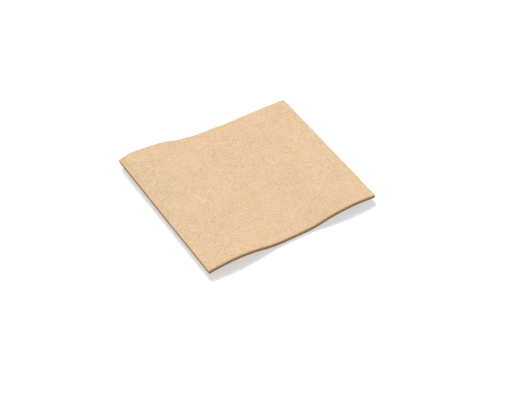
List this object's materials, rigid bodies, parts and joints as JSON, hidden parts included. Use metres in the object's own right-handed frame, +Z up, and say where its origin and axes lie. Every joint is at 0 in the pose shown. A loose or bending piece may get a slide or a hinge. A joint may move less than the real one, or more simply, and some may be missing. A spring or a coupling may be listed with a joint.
{
  "type": "folded paper napkin",
  "caption": "Plain kraft paper napkin in a quarter fold, lying with a gentle wave, two sides folded and two open.",
  "frame": {"origin": "middle of the napkin's footprint, on the surface that it lies on", "axes": "+X from the first fold to the open side, +Y from the second fold to the open side, +Z up"},
  "size_m": [0.1658, 0.1514, 0.0109],
  "materials": {
    "kraft_paper": "matt, uncoated, soft fibrous tissue"
  },
  "bodies": {
    "root": {"napkin": "kraft_paper"}
  },
  "joints": []
}
